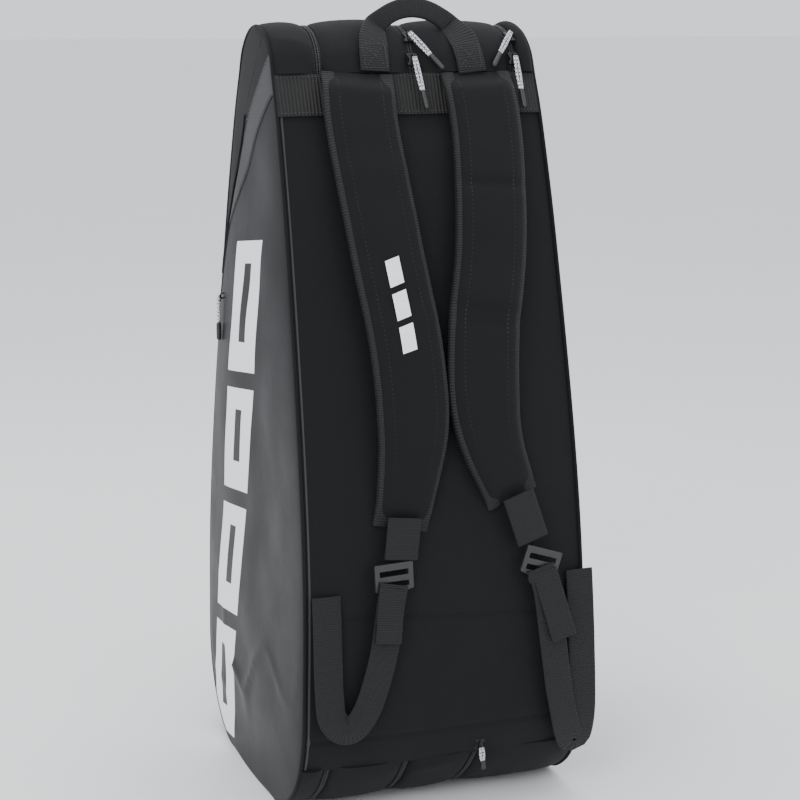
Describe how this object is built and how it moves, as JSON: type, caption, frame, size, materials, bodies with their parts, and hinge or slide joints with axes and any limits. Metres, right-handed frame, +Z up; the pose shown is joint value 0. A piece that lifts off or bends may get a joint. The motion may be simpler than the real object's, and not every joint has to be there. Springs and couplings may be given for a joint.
{
  "type": "racket bag",
  "caption": "Tall soft bag for rackets with zipped compartments, a tarpaulin side pocket, padded shoulder straps and a top handle.",
  "frame": {"origin": "middle of the base, on the surface that the bag stands on", "axes": "+Z up along the bag's length, -Y towards the shoulder straps, -X towards the tarpaulin pocket"},
  "size_m": [0.3, 0.3558, 0.7779],
  "materials": {
    "cloth": "matt black polyester with a fine plain weave",
    "lining": "dark grey lining cloth over foam",
    "webbing": "black ribbed webbing",
    "zip_tape": "black coil zip on woven tape",
    "tarpaulin": "coated black tarpaulin, satin gloss",
    "grey_cloth": "dark grey coated strip with a fine grain",
    "buckle_plastic": "moulded black acetal, slightly shiny edges",
    "slider_metal": "black lacquered zinc",
    "pull_plastic": "braided cord with a moulded black tip"
  },
  "bodies": {
    "bag_body": {"spine_panel": "cloth", "left_hinge_cloth": "cloth", "right_hinge_cloth": "cloth", "top_webbing_band": "webbing", "middle_gusset_left": "cloth", "middle_gusset_right": "cloth", "left_divider": "lining", "right_divider": "lining", "zip_1_tape_right": "zip_tape", "zip_2_tape_left": "zip_tape", "zip_2_tape_right": "zip_tape", "zip_3_tape_left": "zip_tape", "handle_foot_left": "webbing", "handle_foot_right": "webbing", "left_side_webbing": "webbing", "right_side_webbing": "webbing", "left_lower_strap": "webbing", "right_lower_strap": "webbing"},
    "left_cover": {"left_side_panel": "cloth", "left_gusset": "cloth", "zip_1_tape_left": "zip_tape", "pocket_front": "tarpaulin", "pocket_zip": "zip_tape", "pocket_strip": "grey_cloth"},
    "right_cover": {"right_side_panel": "cloth", "right_gusset": "cloth", "zip_3_tape_right": "zip_tape"},
    "left_strap": {"left_strap_pad": "cloth", "left_strap_patch": "webbing"},
    "right_strap": {"right_strap_pad": "cloth", "right_strap_patch": "webbing"},
    "left_buckle": {"left_buckle": "buckle_plastic", "left_tail": "webbing"},
    "right_buckle": {"right_buckle": "buckle_plastic", "right_tail": "webbing"},
    "top_handle": {"top_handle": "webbing"},
    "zip_1_slider": {"zip_1_slider": "slider_metal"},
    "zip_1_pull": {"zip_1_pull": "pull_plastic"},
    "zip_2_front_slider": {"zip_2_front_slider": "slider_metal"},
    "zip_2_front_pull": {"zip_2_front_pull": "pull_plastic"},
    "zip_2_back_slider": {"zip_2_back_slider": "slider_metal"},
    "zip_2_back_pull": {"zip_2_back_pull": "pull_plastic"},
    "zip_3_front_slider": {"zip_3_front_slider": "slider_metal"},
    "zip_3_front_pull": {"zip_3_front_pull": "pull_plastic"},
    "zip_3_back_slider": {"zip_3_back_slider": "slider_metal"},
    "zip_3_back_pull": {"zip_3_back_pull": "pull_plastic"},
    "zip_3_low_slider": {"zip_3_low_slider": "slider_metal"},
    "zip_3_low_pull": {"zip_3_low_pull": "pull_plastic"},
    "pocket_slider": {"pocket_slider": "slider_metal"},
    "pocket_pull": {"pocket_pull": "pull_plastic"}
  },
  "joints": [
    {"name": "left_cover_opens", "type": "hinge", "parent": "bag_body", "child": "left_cover", "pos_m": [-0.15, -0.203, 0], "axis": [0.017, 0.1819, 0.9832], "range_deg": [0, 55], "deforming": ["left_hinge_cloth"]},
    {"name": "right_cover_opens", "type": "hinge", "parent": "bag_body", "child": "right_cover", "pos_m": [0.15, -0.203, 0], "axis": [0.017, -0.1819, -0.9832], "range_deg": [0, 55], "deforming": ["right_hinge_cloth"]},
    {"name": "left_strap_swings", "type": "hinge", "parent": "bag_body", "child": "left_strap", "pos_m": [-0.053, -0.066, 0.7], "axis": [-1, 0, 0], "range_deg": [0, 14], "deforming": ["left_lower_strap"]},
    {"name": "right_strap_swings", "type": "hinge", "parent": "bag_body", "child": "right_strap", "pos_m": [0.068, -0.066, 0.7], "axis": [-1, 0, 0], "range_deg": [0, 14], "deforming": ["right_lower_strap"]},
    {"name": "left_buckle_tilts", "type": "hinge", "parent": "left_strap", "child": "left_buckle", "pos_m": [-0.057, -0.178, 0.262], "axis": [-1, 0, 0], "range_deg": [0, 60]},
    {"name": "right_buckle_tilts", "type": "hinge", "parent": "right_strap", "child": "right_buckle", "pos_m": [0.088, -0.178, 0.261], "axis": [-1, 0, 0], "range_deg": [0, 60]},
    {"name": "top_handle_flops", "type": "hinge", "parent": "bag_body", "child": "top_handle", "pos_m": [0.016, -0.031, 0.744], "axis": [-1, 0, 0], "range_deg": [-40, 35], "stiffness_Nm_per_rad": 0.05},
    {"name": "zip_1_slides", "type": "hinge", "parent": "bag_body", "child": "zip_1_slider", "pos_m": [-0.086, 0, 0.693], "axis": [-1, 0, 0], "range_deg": [-95, 5]},
    {"name": "zip_2_front_slides", "type": "hinge", "parent": "bag_body", "child": "zip_2_front_slider", "pos_m": [0.007, 0, 0.693], "axis": [-1, 0, 0], "range_deg": [-2, 6]},
    {"name": "zip_2_back_slides", "type": "hinge", "parent": "bag_body", "child": "zip_2_back_slider", "pos_m": [0.008, 0, 0.693], "axis": [-1, 0, 0], "range_deg": [-4, 8]},
    {"name": "zip_3_front_slides", "type": "hinge", "parent": "bag_body", "child": "zip_3_front_slider", "pos_m": [0.111, 0, 0.693], "axis": [-1, 0, 0], "range_deg": [-2, 6]},
    {"name": "zip_3_back_slides", "type": "hinge", "parent": "bag_body", "child": "zip_3_back_slider", "pos_m": [0.113, 0, 0.693], "axis": [-1, 0, 0], "range_deg": [-4, 100]},
    {"name": "zip_3_low_slides", "type": "slide", "parent": "bag_body", "child": "zip_3_low_slider", "axis": [0, 0.1701, -0.9854], "range_m": [0, 0.015]},
    {"name": "pocket_slides", "type": "slide", "parent": "left_cover", "child": "pocket_slider", "axis": [0.013, -0.6649, 0.7468], "range_m": [-0.02, 0.18]},
    {"name": "zip_1_pull_swings", "type": "hinge", "parent": "zip_1_slider", "child": "zip_1_pull", "pos_m": [-0.0864, 0.0583, 0.724], "axis": [1, 0, 0], "range_deg": [0, 80]},
    {"name": "zip_2_front_pull_swings", "type": "hinge", "parent": "zip_2_front_slider", "child": "zip_2_front_pull", "pos_m": [0.0068, -0.0598, 0.7209], "axis": [-1, 0, 0], "range_deg": [0, 80]},
    {"name": "zip_2_back_pull_swings", "type": "hinge", "parent": "zip_2_back_slider", "child": "zip_2_back_pull", "pos_m": [0.0081, -0.0424, 0.7436], "axis": [-1, 0, 0], "range_deg": [0, 35]},
    {"name": "zip_3_front_pull_swings", "type": "hinge", "parent": "zip_3_front_slider", "child": "zip_3_front_pull", "pos_m": [0.1112, -0.0598, 0.7209], "axis": [-1, 0, 0], "range_deg": [0, 80]},
    {"name": "zip_3_back_pull_swings", "type": "hinge", "parent": "zip_3_back_slider", "child": "zip_3_back_pull", "pos_m": [0.1135, -0.0424, 0.7436], "axis": [-1, 0, 0], "range_deg": [0, 60]},
    {"name": "zip_3_low_pull_swings", "type": "hinge", "parent": "zip_3_low_slider", "child": "zip_3_low_pull", "pos_m": [0.0367, -0.1704, 0.0638], "axis": [-1, 0, 0], "range_deg": [0, 80]},
    {"name": "pocket_pull_swings", "type": "hinge", "parent": "pocket_slider", "child": "pocket_pull", "pos_m": [-0.1467, 0.1009, 0.4777], "axis": [0, 1, 0], "range_deg": [0, 80]}
  ]
}
